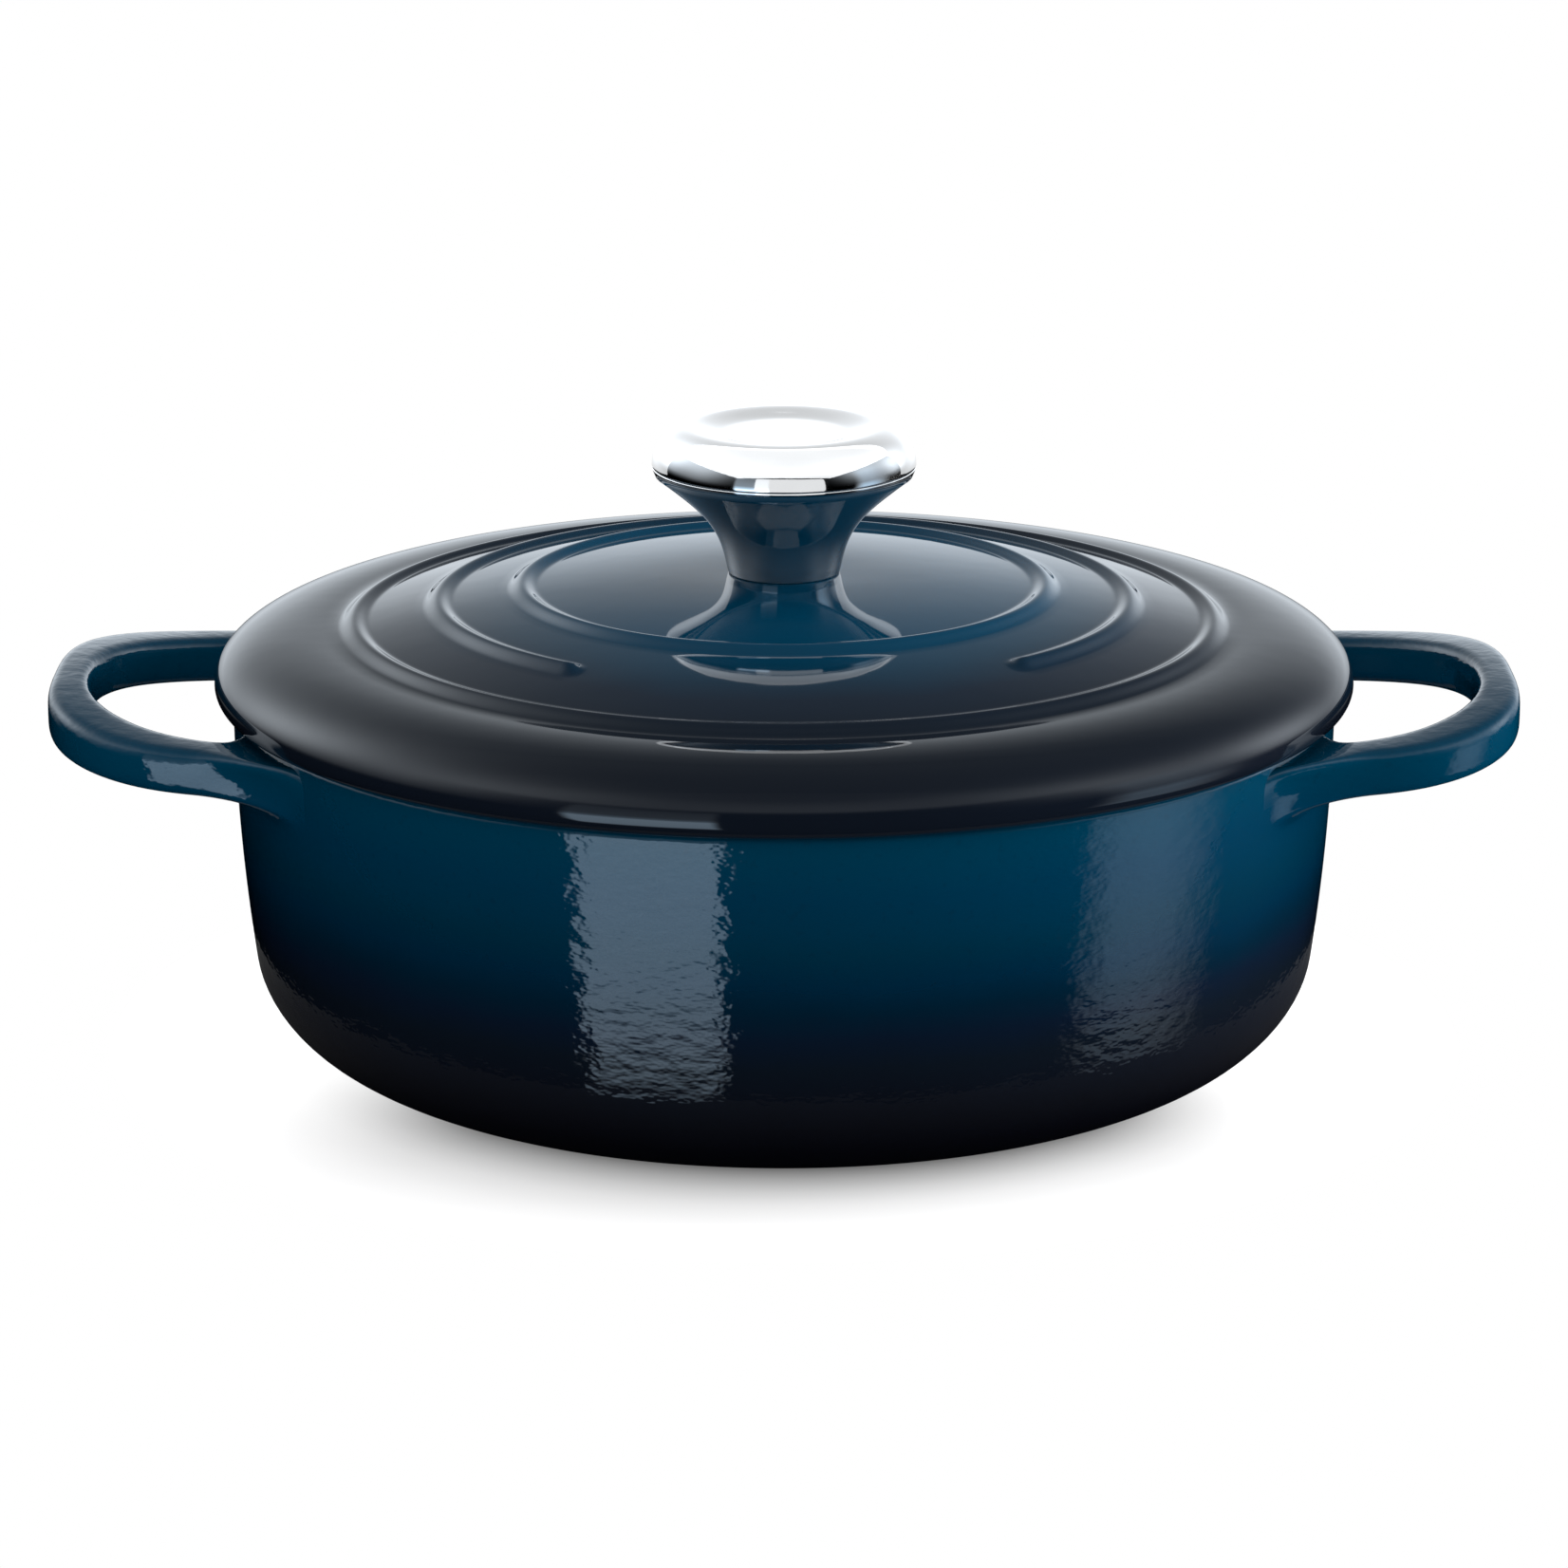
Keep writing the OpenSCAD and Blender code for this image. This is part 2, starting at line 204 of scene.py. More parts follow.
class Bench:
    """Adds nodes to one tree."""

    def __init__(self, tree):
        self.tree = tree
        tree.nodes.clear()

    def make(self, kind, settings=None, sockets=None):
        """Adds a node: its settings are set first, then the values or links of its sockets."""
        node = self.tree.nodes.new(kind)
        for name, value in (settings or {}).items():
            if name == "stops":
                self.set_stops(node.color_ramp, value)
            else:
                setattr(node, name, value)
        for name, value in (sockets or {}).items():
            if isinstance(value, Signal):
                self.tree.links.new(value.socket, node.inputs[name])
            else:
                node.inputs[name].default_value = value
        return Signal(self, node.outputs[0]) if node.outputs else None

    def set_stops(self, color_ramp, stops):
        """Places and colours of a colour ramp, in order."""
        while len(color_ramp.elements) < len(stops):
            color_ramp.elements.new(1.0)
        for element, (place, color) in zip(color_ramp.elements, stops):
            element.position = place
            element.color = (*color, 1.0)

    def levels(self, value, stops):
        """A level that follows straight lines from stop to stop, each a value and its level."""
        first, last = stops[0][0], stops[-1][0]
        most = max(level for _, level in stops)
        span = {"Value": value, "From Min": first, "From Max": last}
        share = self.make("ShaderNodeMapRange", sockets=span)
        grey = [((place - first) / (last - first), (level / most,) * 3) for place, level in stops]
        return self.make("ShaderNodeValToRGB", {"stops": grey}, {"Fac": share}) * most

    def maths(self, operation, *values):
        """A Math node."""
        return self.make("ShaderNodeMath", {"operation": operation}, dict(enumerate(values)))

    def blend(self, share, first, second):
        """Colour that goes from the first to the second with the share."""
        ends = [end if isinstance(end, Signal) else (*end, 1.0) for end in (first, second)]
        return self.make("ShaderNodeMix", {"data_type": "RGBA"}, {0: share, 6: ends[0], 7: ends[1]}).out(2)

    def mark(self, name):
        """A value kept on the mesh's points."""
        return self.make("ShaderNodeAttribute", {"attribute_name": name}).out("Fac")

    def place(self, scale=(1, 1, 1)):
        """Object coordinates, stretched about the origin."""
        coords = self.make("ShaderNodeTexCoord").out("Object")
        return self.make("ShaderNodeMapping", sockets={"Vector": coords, "Scale": scale})

    def away(self):
        """Distance from the Z axis, in millimetres."""
        parts = self.make("ShaderNodeSeparateXYZ", sockets={0: self.place()})
        x, y = parts.out("X"), parts.out("Y")
        return (x * x + y * y) ** 0.5 / MM

    def noise(self, place, grain_mm, detail=2.0, roughness=0.5):
        """Smooth noise around 0.5 whose waves are about grain_mm long."""
        return self.make(
            "ShaderNodeTexNoise",
            {"noise_dimensions": "3D"},
            {"Vector": place, "Scale": 1 / (grain_mm * MM), "Detail": detail, "Roughness": roughness},
        )

    def relief(self, height, depth_mm, under=None):
        """Bump from a height between 0 and 1 that stands for depth_mm."""
        sockets = {"Height": height, "Strength": 1.0, "Distance": depth_mm * MM}
        if under is not None:
            sockets["Normal"] = under
        return self.make("ShaderNodeBump", sockets=sockets)


# ---------------------------------------------------------------- stage

def place_camera():
    """A long lens a little over a metre away, looking down at the front."""
    elevation = math.radians(15.74)
    distance = 1.3507
    aim_height = 0.0573
    lens = bpy.data.cameras.new("camera")
    lens.lens = 140
    lens.sensor_width = 36
    camera = bpy.data.objects.new("camera", lens)
    camera.location = (0, -distance * math.cos(elevation), aim_height + distance * math.sin(elevation))
    camera.rotation_euler = (math.pi / 2 - elevation, 0, 0)
    bpy.context.scene.collection.objects.link(camera)
    bpy.context.scene.camera = camera


def ray_kinds(bench):
    """Shares of rays that see the background: the camera's own, and those through or off a surface."""
    path = bench.make("ShaderNodeLightPath")
    seen = path.out("Is Camera Ray")
    mirrored = path.out("Is Glossy Ray").most(path.out("Is Transmission Ray"))
    return seen, mirrored


def soft_lights(parts, lights):
    """Sum of wide lights, each with the bearing and rise it comes from, its sharpness and its level.

    Bearing 0 is the camera's side.
    """
    total = 0.0
    for bearing, rise, sharpness, level in lights:
        turn, lift = math.radians(bearing), math.radians(rise)
        ahead = parts.out("X") * math.sin(turn) - parts.out("Y") * math.cos(turn)
        share = ahead * math.cos(lift) + parts.out("Z") * math.sin(lift)
        total = total + level * share.most(0.0) ** sharpness
    return total


def softbox(bearing, edges, level):
    """A tall light whose two edges each fade between two bearings."""
    first, last = edges
    return bearing.ramp(*first) * bearing.ramp(*last) * level


def mirrored_room(bench, parts):
    """What the glaze mirrors: a white wall behind, glowing sides, two tall softboxes, and dark elsewhere."""
    bearing = bench.maths("ARCTAN2", parts.out("X"), 0 - parts.out("Y")) * math.degrees(1)
    rise = bench.maths("ARCSINE", parts.out("Z")) * math.degrees(1)
    aside = bench.maths("ABSOLUTE", bearing)
    wall = aside.ramp(118, 165) * bench.levels(rise, wall_levels)
    glow = soft_lights(parts, side_glows) * rise.ramp(-6, 6)
    front = aside.ramp(95, 50) * bench.levels(rise, front_levels)
    overhead = rise.ramp(20, 50) * ceiling_level
    left = softbox(bearing, left_edges, bench.levels(rise, left_levels))
    right = softbox(bearing, right_edges, bench.levels(rise, right_levels))
    color = bench.blend(left.most(right).least(1.0), room_color, softbox_color)
    return color, wall + glow + front + overhead + left + right


def studio_world():
    """A white room to look at, soft light from all round for the colours, and a studio in the glaze."""
    world = bpy.data.worlds.new("studio")
    bpy.context.scene.world = world
    world.use_nodes = True
    bench = Bench(world.node_tree)
    seen, mirrored = ray_kinds(bench)
    way = bench.make("ShaderNodeTexCoord").out("Generated")
    parts = bench.make("ShaderNodeSeparateXYZ", sockets={0: way})
    color, room = mirrored_room(bench, parts)
    level = soft_lights(parts, color_lights)
    strength = seen + (1 - seen) * (mirrored * room + (1 - mirrored) * level)
    tint = bench.blend(mirrored, (1.0, 1.0, 1.0), color)
    light = bench.make("ShaderNodeBackground", sockets={"Color": tint, "Strength": strength})
    bench.make("ShaderNodeOutputWorld", sockets={"Surface": light})


def table_top():
    """Small round white table, no wider than the object's shadow. Its glow paints the pot's shadow, dark at
    the foot and fading towards the edge and the sides, over the real shade of its lit surface. The glaze
    mirrors it dark.
    """
    mesh = bpy.data.meshes.new("table")
    form = bmesh.new()
    bmesh.ops.create_circle(form, cap_ends=True, radius=painted_shadow_levels[-1][0] * MM, segments=128)
    form.to_mesh(mesh)
    form.free()
    table = bpy.data.objects.new("table", mesh)
    bpy.context.scene.collection.objects.link(table)
    finish = bpy.data.materials.new("white table")
    finish.use_nodes = True
    bench = Bench(finish.node_tree)
    seen, mirrored = ray_kinds(bench)
    parts = bench.make("ShaderNodeSeparateXYZ", sockets={0: bench.place()})
    away = bench.away()
    ahead = (0 - parts.out("Y")) / (away * MM).most(1e-4)
    # Painted shadow: the glow rises with distance from the axis, and sooner at the sides than in front
    shade = bench.levels(away, painted_shadow_levels)
    white = shade + (1 - shade) * ahead.ramp(0.78, 0.2)
    surface = bench.make(
        "ShaderNodeBsdfPrincipled",
        sockets={
            "Base Color": bench.blend(mirrored, (0.45, 0.45, 0.455), (0.02, 0.02, 0.021)),
            "Roughness": 0.9,
            "Specular IOR Level": 0.0,
            "Emission Color": (1, 1, 1, 1),
            "Emission Strength": (seen + mirrored * 0.05).least(1.0) * white,
        },
    )
    bench.make("ShaderNodeOutputMaterial", sockets={"Surface": surface})
    mesh.materials.append(finish)


def steel_light(name, place, tilt, width, height, radiance):
    """Large lamp that only the polished steel shows, as a mirror image. At tilt 0 it shines down."""
    lamp = bpy.data.lights.new(name, "AREA")
    lamp.shape = "RECTANGLE"
    lamp.size = width
    lamp.size_y = height
    lamp.energy = radiance * math.pi * width * height
    holder = bpy.data.objects.new(name, lamp)
    holder.location = place
    holder.rotation_euler = (math.radians(tilt), 0, 0)
    holder.visible_camera = False
    holder.visible_diffuse = False
    holder.light_linking.receiver_collection = steel_pieces
    bpy.context.scene.collection.objects.link(holder)


def creased(start, pairs, dark, light, gain):
    """Levels of a softbox whose cloth is creased: dark and light by turns, both rising by the gain."""
    step = 1.5
    stops = []
    for pair in range(pairs):
        rise = start + 2 * step * pair
        stops += [(rise, dark + gain * pair), (rise + step, light + gain * pair)]
    return stops


# Painted shadow on the table: brightness of its glow by distance from the axis in millimetres, as far as its
# edge
painted_shadow_levels = [(88, 0.04), (92, 0.10), (100, 0.29), (108, 0.44), (116, 0.54), (128, 0.66), (150, 0.80)]

# Brightness of the mirrored room's sides by rise in degrees
wall_levels = [
    (-13, 0.0), (-10, 0.25), (-5, 0.9), (0, 1.35), (8, 1.15),
    (16, 0.6), (22, 0.38), (28, 0.24), (36, 0.08), (44, 0.0)]
front_levels = [(29, 0.0), (38, 0.34), (55, 0.24), (70, 0.07), (90, 0.02)]
left_levels = [
    (-36, 0.0), (-33, 0.9), (-30, 1.9), *creased(-28.5, 8, 2.46, 3.04, 0.075),
    (-2, 1.4), (4, 0.5), (24, 0.3), (32, 0.0)]
right_levels = [
    (-30, 0.0), (-27.5, 0.95), *creased(-26, 6, 0.87, 1.13, 0.02),
    (-6, 1.2), (2, 0.5), (24, 0.4), (34, 0.0)]
ceiling_level = 0.11

# Bearings between which each edge of a softbox fades
left_edges = [(-45.0, -41.8), (-12.0, -14.6)]
right_edges = [(62.5, 74), (106, 80)]

# Bearing, rise, sharpness and level of the mirrored side walls' glows, and of the lights for the colours
side_glows = [(-128, 24, 16, 2.4), (-88, 34, 9, 1.1), (118, 17, 22, 1.95), (82, 33, 14, 1.0)]
color_lights = [(105, 0, 8, 14.0), (-15, 0, 2, 1.78), (0, 90, 4, 1.49)]
room_color = (0.86, 0.93, 1.0)
softbox_color = (0.60, 0.80, 1.0)

steel_pieces = bpy.data.collections.new("steel pieces")
bpy.context.scene.view_settings.view_transform = "Standard"
place_camera()
studio_world()
table_top()
steel_light("wall light", (0, 1.3, 0.8), -90, 4.4, 2.0, 0.9)
steel_light("top light", (0, -0.5, 1.7), 0, 5.0, 4.4, 1.5)
steel_light("front light", (0.2, -1.6, 0.15), 90, 1.9, 1.6, 1.3)


# ---------------------------------------------------------------- finishes

speck_navy = (0.0035, 0.0065, 0.014)
sand = (0.70, 0.61, 0.47)
shaded_sand = (0.66, 0.57, 0.43)
satin_black = (0.010, 0.010, 0.011)
foot_gloss = 0.06

# Colours of the pot's outside by height, and of the lid's top by distance from the axis, in millimetres
pot_colors = [
    (0, (0.0012, 0.0015, 0.0030)),
    (10, (0.0015, 0.0018, 0.0037)),
    (16, (0.0024, 0.0030, 0.0052)),
    (23, (0.0027, 0.0040, 0.0075)),
    (30, (0.0027, 0.0052, 0.0097)),
    (36, (0.0021, 0.0060, 0.0152)),
    (42, (0.0003, 0.0091, 0.0212)),
    (48, (0.0, 0.0137, 0.0331)),
    (55, (0.0, 0.0185, 0.0395)),
    (60, (0.0, 0.0212, 0.0467)),
    (67, (0.0, 0.0235, 0.0530)),
    (76, (0.0, 0.0290, 0.0600)),
]
lid_colors = [
    (0, (0.0003, 0.0350, 0.0740)),
    (56, (0.0003, 0.0350, 0.0740)),
    (68, (0.0010, 0.0250, 0.0520)),
    (82, (0.0040, 0.0110, 0.0230)),
    (100, (0.0045, 0.0080, 0.0140)),
    (125, (0.0035, 0.0055, 0.0100)),
]


def new_finish(name):
    """An empty material and its bench."""
    finish = bpy.data.materials.new(name)
    finish.use_nodes = True
    return finish, Bench(finish.node_tree)


def enamel_surface(bench, color, glaze, normal):
    """Vitreous enamel: glassy where it is glazed, and dull where the glaze share falls to 0."""
    shared = {"Base Color": color, "Normal": normal}
    glazed = bench.make("ShaderNodeBsdfPrincipled", sockets={"Roughness": 0.04, "IOR": 1.5, **shared})
    dull = bench.make(
        "ShaderNodeBsdfPrincipled", sockets={"Roughness": 0.6, "Specular IOR Level": 0.0, **shared})
    surface = bench.make("ShaderNodeMixShader", sockets={0: glaze, 1: dull, 2: glazed})
    bench.make("ShaderNodeOutputMaterial", sockets={"Surface": surface})


def sand_lining(bench, grain_mm):
    """Colour of the enamel inside, softly mottled."""
    mottle = bench.noise(bench.place(), grain_mm, detail=4.0)
    return bench.blend(mottle.ramp(0.35, 0.7) * 0.5, sand, shaded_sand)


def pot_finish():
    """Teal enamel that darkens towards the foot, sand enamel inside, and a satin black rim.

    The glaze thins out towards the foot, and its skin has the swell and the fine ripple of enamelled iron.
    """
    finish, bench = new_finish("pot enamel")
    height = bench.make("ShaderNodeSeparateXYZ", sockets={0: bench.place()}).out("Z") / MM
    cloud = bench.noise(bench.place((1, 1, 1.6)), 26.0, detail=3.0)
    sprayed = height + (cloud - 0.5) * 5.0
    outside = bench.make(
        "ShaderNodeValToRGB",
        {"stops": [(z / pot_h, color) for z, color in pot_colors]},
        {"Fac": sprayed / pot_h},
    )
    speck = bench.noise(bench.place(), 1.6, detail=1.0)
    outside = bench.blend(speck.ramp(0.60, 0.78) * 0.12, outside, speck_navy)
    color = bench.blend(bench.mark("lining"), outside, sand_lining(bench, 14.0))
    color = bench.blend(bench.mark("rim"), color, satin_black)
    bare = bench.mark("rim").most(bench.mark("foot"))
    thick = height.ramp(6.0, 34.0).most(bench.mark("lining"))
    glaze = (1 - bare * 0.85) * (foot_gloss + thick * (1 - foot_gloss))
    swell = bench.noise(bench.place((1, 1, 1.4)), 13.0, detail=1.0)
    ripple = bench.noise(bench.place((1, 1, 2.0)), 5.0, detail=2.0, roughness=0.6)
    skin = bench.relief(ripple, 0.15, bench.relief(swell, 0.12))
    enamel_surface(bench, color, glaze, skin)
    return finish


def lid_finish():
    """Teal enamel round the knob that darkens to near black at the edge, and sand enamel underneath."""
    finish, bench = new_finish("lid enamel")
    cloud = bench.noise(bench.place(), 30.0, detail=3.0)
    sprayed = bench.away() + (cloud - 0.5) * 6.0
    outside = bench.make(
        "ShaderNodeValToRGB",
        {"stops": [(r / lid_r, color) for r, color in lid_colors]},
        {"Fac": sprayed / lid_r},
    )
    color = bench.blend(bench.mark("lining"), outside, sand_lining(bench, 12.0))
    color = bench.blend(bench.mark("seat"), color, satin_black)
    glaze = 1 - bench.mark("seat") * 0.8
    skin = bench.relief(bench.noise(bench.place(), 9.0, detail=1.0), 0.02)
    enamel_surface(bench, color, glaze, skin)
    return finish


def steel_finish():
    """Polished stainless steel with very fine turning lines."""
    finish, bench = new_finish("polished steel")
    smear = bench.noise(bench.place(), 9.0, detail=3.0)
    lines = bench.noise(bench.place((0.2, 0.2, 6.0)), 1.2, detail=2.0)
    surface = bench.make(
        "ShaderNodeBsdfPrincipled",
        sockets={
            "Base Color": bench.blend(smear, (0.55, 0.56, 0.57), (0.60, 0.61, 0.62)),
            "Metallic": 1.0,
            "Roughness": 0.03 + smear * 0.03 + lines * 0.01,
            "Normal": bench.relief(lines, 0.002),
        },
    )
    bench.make("ShaderNodeOutputMaterial", sockets={"Surface": surface})
    return finish


def zinc_finish():
    """Bright zinc plating, a little uneven."""
    finish, bench = new_finish("bright zinc")
    patch = bench.noise(bench.place(), 2.5, detail=3.0)
    surface = bench.make(
        "ShaderNodeBsdfPrincipled",
        sockets={
            "Base Color": bench.blend(patch, (0.52, 0.53, 0.52), (0.66, 0.66, 0.62)),
            "Metallic": 1.0,
            "Roughness": 0.26 + patch * 0.16,
            "Normal": bench.relief(bench.noise(bench.place(), 0.5), 0.01),
        },
    )
    bench.make("ShaderNodeOutputMaterial", sockets={"Surface": surface})
    return finish


pot_enamel = pot_finish()
lid_enamel = lid_finish()
steel = steel_finish()
zinc = zinc_finish()


# ---------------------------------------------------------------- outlines

def ramp(x, a, b):
    """Smooth rise from 0 at a to 1 at b."""
    t = np.clip((x - a) / (b - a), 0, 1)
    return t * t * (3 - 2 * t)


def arc(middle, radius, start, end, count):
    """Points round an arc. The radius is one number, or two for an ellipse."""
    angle = np.radians(np.linspace(start, end, count))
    radius = np.broadcast_to(radius, 2)
    return np.column_stack([middle[0] + radius[0] * np.cos(angle), middle[1] + radius[1] * np.sin(angle)])


def line(start, end, count):
    """Points along a straight line, both ends included."""
    return np.linspace(start, end, count)


def run_of(function, stations):
    """Points (r, z) whose height z follows a rule of r."""
    return np.column_stack([stations, function(stations)])


def corner(z, w, h):
    """How far a wall draws in at height z within a rounded corner that is w wide and h high."""
    t = np.clip(z / h, 0, 1)
    return w * (1 - np.sqrt(1 - (1 - t) ** 2))


def lean(z):
    """How far the pot's wall draws in at height z because of its taper."""
    return pot_taper * (1 - z / pot_h) ** 2


def outer_r(z):
    """Radius of the pot's outside at height z."""
    return pot_r - lean(z) - corner(z, corner_w, corner_h)


def inner_r(z):
    """Radius of the pot's inside at height z. The wall thickens towards the rim."""
    wall = pot_wall + (rim_wall - pot_wall) * (z / pot_h) ** 3
    return pot_r - lean(z) - wall - corner(z - floor_z, corner_w - inner_ease, corner_h - inner_ease)


def wall_stations(low, corner_top, high):
    """Heights up a wall, close together in the rounded corner."""
    turn = np.radians(np.linspace(0, 90, 22))
    curved = low + (corner_top - low) * (1 - np.cos(turn))
    return np.concatenate([curved, np.linspace(corner_top, high, 26)[1:]])


def pot_outline():
    """Runs of the pot's slice, from the axis under the base to the axis inside."""
    wall_top = pot_h - rim_round
    ring_out = outer_r(0)
    ring_in = ring_out - foot_w
    outside = wall_stations(0, corner_h, wall_top)
    inside = wall_stations(floor_z, floor_z + corner_h - inner_ease, wall_top)
    under = np.concatenate([np.linspace(0, ring_in - 6, 14), np.linspace(ring_in - 5, ring_out - 1, 24)])
    return [
        ("foot", run_of(lambda r: foot_hollow * (1 - ramp(r, ring_in - 3, ring_in)), under)),
        ("outside", np.column_stack([outer_r(outside), outside])),
        ("outside", arc((pot_r - rim_round, wall_top), rim_round, 10, 52, 5)),
        ("rim", arc((pot_r - rim_round, wall_top), rim_round, 60, 90, 4)),
        ("rim", arc((pot_r - rim_wall + rim_round, wall_top), rim_round, 90, 170, 8)),
        ("lining", np.column_stack([inner_r(inside), inside])[::-1]),
        ("lining", line((inner_r(floor_z) - 6, floor_z), (0, floor_z), 14)),
    ]


def crown(r):
    """Height of the lid's top above its lower face, without rings: a dome, then a band that falls away."""
    across = outer_ring_r - seat_r
    fall = (lid_h - band_h) / (1 + ease_w / across)
    dome = lid_h - fall * (np.maximum(0, r - seat_r) / across) ** 2
    level = band_h + fall / across * ease_w * ((level_r - r) / ease_w) ** 2
    t = np.clip((r - level_r) / (lid_r - level_r), 0, 1)
    band = edge_h + (band_h - edge_h) * (1 - t ** band_square) ** (1 / band_square)
    return np.where(r < outer_ring_r, dome, np.where(r < level_r, level, band))


def lid_stations():
    """Radii across the lid's top, close together where the rings are."""
    stations = [np.linspace(hole_r + hole_round, seat_r, 6)]
    start, step = seat_r + 2, 2.4
    for ring_r in (first_ring_r, middle_ring_r, outer_ring_r):
        stations.append(np.arange(start, ring_r - 4.5, step))
        stations.append(np.arange(ring_r - 4, ring_r + 4, 0.5))
        start, step = ring_r + 5.5, 1.6
    stations.append(np.arange(outer_ring_r + 4.5, level_r - 0.5, 0.6))
    return np.concatenate(stations)


def lid_outline():
    """Runs of the lid's slice, once round from the hole's upper edge to its lower edge."""
    step_top = crown(seat_in) - lid_wall
    turn = np.radians(np.linspace(0, 90, 50))
    out, up = np.sin(turn) ** (2 / band_square), np.cos(turn) ** (2 / band_square)
    under = np.concatenate([np.arange(seat_in - 2.4, 20, -3.0), [16, 12, 8, hole_r + hole_round]])
    return [
        ("upper", run_of(crown, lid_stations())),
        ("edge", np.column_stack([level_r + (lid_r - level_r) * out, edge_h + (band_h - edge_h) * up])),
        ("edge", arc((lid_r - edge_round, edge_h), (edge_round, edge_h), 0, -90, 14)[1:-1]),
        ("seat", line((lid_r - edge_round, 0), (seat_in + seat_round, 0), 6)),
        ("seat", arc((seat_in + seat_round, seat_round), seat_round, 270, 180, 4)[1:]),
        ("lining", line((seat_in, 1.4), (seat_in, step_top - 2.4), 4)),
        ("lining", arc((seat_in - step_round, step_top - step_round), step_round, 0, 75, 6)),
        ("lining", run_of(lambda r: crown(r) - lid_wall, under)),
        ("lining", [(hole_r, crown(hole_r) - lid_wall + hole_round)]),
        ("upper", [(hole_r, lid_h - hole_round)]),
    ]


def bezier(points, t):
    """Points on a cubic curve, or on a bundle of them, at the shares t of the way."""
    a, b, c, d = (np.array(p, float) for p in points)
    t = np.reshape(t, (-1,) + (1,) * a.ndim)
    return (1 - t) ** 3 * a + 3 * t * (1 - t) ** 2 * b + 3 * t * t * (1 - t) * c + t ** 3 * d


def stem_outline():
    """Runs of the knob's flared stem, once round from its floor's hole."""
    flare_end = seam_h - 2
    flare = bezier([(foot_r, 0), (foot_r + 1.7, flare_end * 0.435), (knob_r * 0.555, flare_end * 0.575),
                    (knob_r - 0.7, flare_end)], np.linspace(0, 1, 40))
    way = np.gradient(flare, axis=0)
    inward = np.column_stack([-way[:, 1], way[:, 0]]) / np.linalg.norm(way, axis=1)[:, None]
    inner = (flare + sheet_t * inward)[::-1]
    inner = inner[(inner[:, 1] > floor_t + 0.5) & (inner[:, 0] < knob_r - sheet_t)]
    return [
        ("steel", line((neck_r, 0), (foot_r - 0.8, 0), 3)),
        ("steel", arc((foot_r - 0.5, 0.5), 0.5, -80, 0, 5)),
        ("steel", flare[2:]),
        ("steel", arc((knob_r - 0.25, seam_h - 0.25), 0.25, 0, 90, 4)),
        ("steel", [(knob_r - sheet_t, seam_h)]),
        ("steel", inner),
        ("steel", line((foot_r - sheet_t - 0.6, floor_t), (neck_r, floor_t), 3)),
    ]


def dish(r):
    """Height of the knob's shallow dish above its seat."""
    return knob_h - dish_depth * ramp(ridge_r - r, 0, ridge_r - disc_r)


def cap_outline():
    """Runs of the knob's cap, from its seam over the top to the axis and back inside."""
    shoulder = arc((ridge_r, seam_h), (knob_r - ridge_r, knob_h - seam_h), 4, 90, 30)
    inside = arc((ridge_r, seam_h), (knob_r - sheet_t - ridge_r, knob_h - seam_h - sheet_t), 90, 0, 14)
    across = np.linspace(ridge_r, 0, 34)[1:]
    return [
        ("steel", arc((knob_r - 0.25, seam_h + 0.25), 0.25, -90, -8, 4)),
        ("steel", shoulder),
        ("steel", run_of(dish, across)),
        ("steel", run_of(lambda r: dish(r) - sheet_t, across[::-2])),
        ("steel", inside),
    ]


# ---------------------------------------------------------------- geometry node trees

def new_tree(name, inputs):
    """A geometry tree with named inputs. Returns its bench and its input node's signal."""
    tree = bpy.data.node_groups.new(name, "GeometryNodeTree")
    tree.interface.new_socket("Geometry", in_out="INPUT", socket_type="NodeSocketGeometry")
    for label, kind in inputs.items():
        tree.interface.new_socket(label, in_out="INPUT", socket_type="NodeSocket" + kind)
    tree.interface.new_socket("Geometry", in_out="OUTPUT", socket_type="NodeSocketGeometry")
    bench = Bench(tree)
    return bench, bench.make("NodeGroupInput")


def end_tree(bench, given, shape):
    """Closes a tree: instances become real and the finish is set."""
    real = bench.make("GeometryNodeRealizeInstances", sockets={"Geometry": shape})
    dressed = {"Geometry": real, "Material": given.out("Finish")}
    bench.make("NodeGroupOutput", sockets={0: bench.make("GeometryNodeSetMaterial", sockets=dressed)})
    return bench.tree


def turning_tree():
    """Sweeps the object's own outline once round the Z axis, as on a lathe."""
    bench, given = new_tree("turn the outline", {
        "Facets": "Int", "Guide Radius": "Float", "Finish": "Material"})
    outline = bench.make("GeometryNodeMeshToCurve", sockets={"Mesh": given.out("Geometry")})
    guide = bench.make(
        "GeometryNodeCurvePrimitiveCircle",
        {"mode": "RADIUS"},
        {"Resolution": given.out("Facets"), "Radius": given.out("Guide Radius")},
    )
    upright = bench.make("GeometryNodeSetCurveNormal", {"mode": "Z_UP"}, {"Curve": guide})
    swept = bench.make("GeometryNodeCurveToMesh", sockets={"Curve": upright, "Profile Curve": outline})
    welded = bench.make("GeometryNodeMergeByDistance", sockets={"Geometry": swept, "Distance": 2e-6})
    return end_tree(bench, given, welded)


